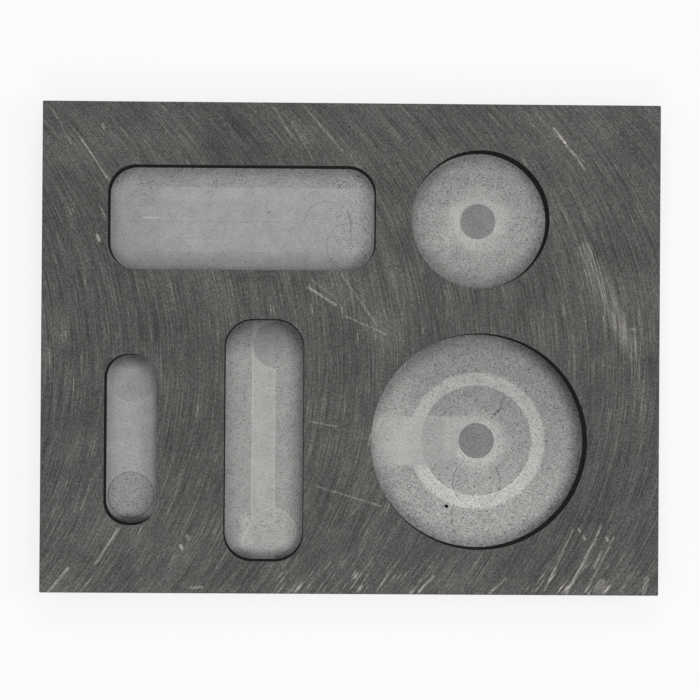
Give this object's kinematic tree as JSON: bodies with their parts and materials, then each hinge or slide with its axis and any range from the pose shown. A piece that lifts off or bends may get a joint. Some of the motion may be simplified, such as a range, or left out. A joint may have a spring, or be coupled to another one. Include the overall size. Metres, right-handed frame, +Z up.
{
  "type": "ingot mould",
  "caption": "Open graphite ingot mould: a flat rectangular block with bar-shaped and round cavities milled into its top face.",
  "frame": {"origin": "centre of the block's underside", "axes": "+X along the block's length, towards the round cavities; +Y towards the row with the wide bar; +Z up, out of the cavities"},
  "size_m": [0.126, 0.1, 0.019],
  "materials": {
    "graphite": "matt machined graphite"
  },
  "bodies": {
    "root": {"graphite_block": "graphite"}
  },
  "joints": []
}
